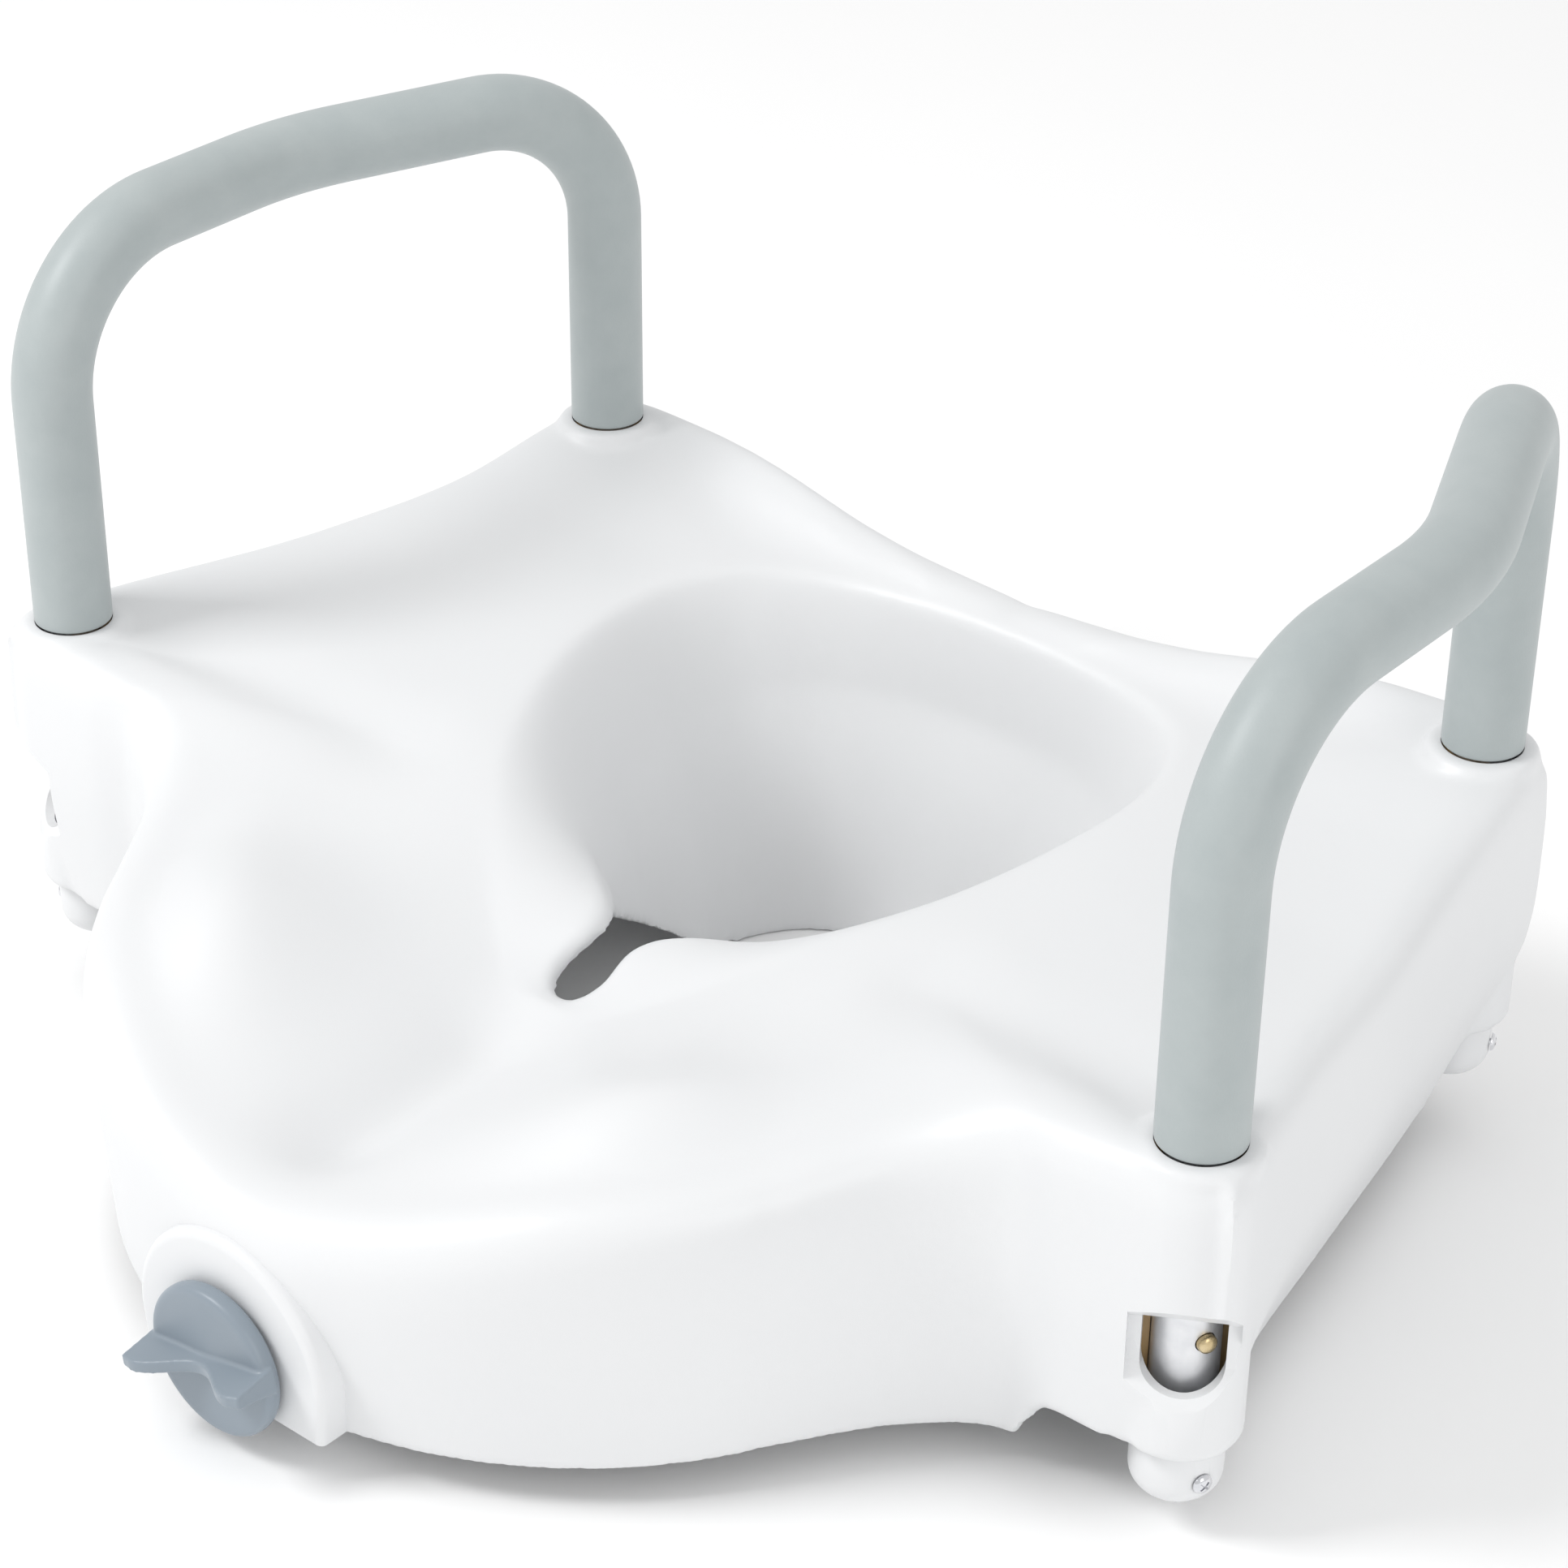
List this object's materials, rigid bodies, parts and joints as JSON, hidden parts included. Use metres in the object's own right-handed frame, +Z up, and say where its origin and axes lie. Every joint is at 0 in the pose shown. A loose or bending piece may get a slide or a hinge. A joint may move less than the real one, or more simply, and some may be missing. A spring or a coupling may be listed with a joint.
{
  "type": "raised toilet seat",
  "caption": "Raised toilet seat: white moulded body with a keyhole opening, lift-out padded arms with snap buttons, and a front knob that clamps it to the bowl.",
  "frame": {"origin": "Centre of the overall box in plan, at its lowest level, the splash guard's lower edge.", "axes": "+X to the right of someone facing the front knob, +Y to the back, +Z up."},
  "size_m": [0.54, 0.4444, 0.3055],
  "materials": {
    "white_plastic": "satin moulded, fine texture",
    "grey_foam": "smooth closed-cell foam",
    "grey_plastic": "moulded, satin",
    "satin_aluminium": "satin anodised",
    "brass": "plated, worn",
    "spring_steel": "plain",
    "bright_steel": "bright zinc plate",
    "dark_rubber": "matt",
    "tan_nylon": "plain"
  },
  "bodies": {
    "seat": {"seat_shell": "white_plastic", "rim_pad_front_left": "dark_rubber", "rim_pad_front_right": "dark_rubber", "rim_pad_back_left": "dark_rubber", "rim_pad_back_right": "dark_rubber", "socket_liner_front_left": "tan_nylon", "socket_liner_front_right": "tan_nylon", "socket_liner_back_left": "tan_nylon", "socket_liner_back_right": "tan_nylon", "socket_cap_front_left": "white_plastic", "socket_cap_front_right": "white_plastic", "socket_cap_back_left": "white_plastic", "socket_cap_back_right": "white_plastic", "cap_screw_front_left": "bright_steel", "cap_screw_front_right": "bright_steel", "cap_screw_back_left": "bright_steel", "cap_screw_back_right": "bright_steel", "knob_washer": "bright_steel"},
    "arm_left": {"arm_tube_left": "satin_aluminium", "arm_sleeve_left": "grey_foam"},
    "arm_right": {"arm_tube_right": "satin_aluminium", "arm_sleeve_right": "grey_foam"},
    "button_front_left": {"snap_button_front_left": "brass", "button_spring_front_left": "spring_steel"},
    "button_front_right": {"snap_button_front_right": "brass", "button_spring_front_right": "spring_steel"},
    "button_back_left": {"snap_button_back_left": "brass", "button_spring_back_left": "spring_steel"},
    "button_back_right": {"snap_button_back_right": "brass", "button_spring_back_right": "spring_steel"},
    "knob": {"clamp_knob": "grey_plastic", "clamp_screw": "bright_steel", "screw_clip": "spring_steel"},
    "clamp": {"clamp_bracket": "white_plastic", "clamp_nut": "bright_steel", "clamp_pad": "dark_rubber"}
  },
  "joints": [
    {"name": "arm_left_lift", "type": "slide", "parent": "seat", "child": "arm_left", "axis": [0, 0, 1], "range_m": [0, 0.125]},
    {"name": "arm_right_lift", "type": "slide", "parent": "seat", "child": "arm_right", "axis": [0, 0, 1], "range_m": [0, 0.125]},
    {"name": "button_front_left_press", "type": "slide", "parent": "arm_left", "child": "button_front_left", "axis": [0.9135, 0.4067, 0], "range_m": [0, 0.0026], "stiffness_N_per_m": 800, "springref_m": -0.002},
    {"name": "button_front_right_press", "type": "slide", "parent": "arm_right", "child": "button_front_right", "axis": [-0.9135, 0.4067, 0], "range_m": [0, 0.0026], "stiffness_N_per_m": 800, "springref_m": -0.002},
    {"name": "button_back_left_press", "type": "slide", "parent": "arm_left", "child": "button_back_left", "axis": [0.9135, -0.4067, 0], "range_m": [0, 0.0026], "stiffness_N_per_m": 800, "springref_m": -0.002},
    {"name": "button_back_right_press", "type": "slide", "parent": "arm_right", "child": "button_back_right", "axis": [-0.9135, -0.4067, 0], "range_m": [0, 0.0026], "stiffness_N_per_m": 800, "springref_m": -0.002},
    {"name": "knob_turn", "type": "hinge", "parent": "seat", "child": "knob", "pos_m": [0, -0.2008, 0.0337], "axis": [0, 1, 0], "range_deg": [0, 1440]},
    {"name": "clamp_travel", "type": "slide", "parent": "seat", "child": "clamp", "axis": [0, 1, 0], "range_m": [0, 0.0201]}
  ],
  "couplings": [
    {"joint": "clamp_travel", "follows": "knob_turn", "m_per_rad": 0.00079577}
  ]
}
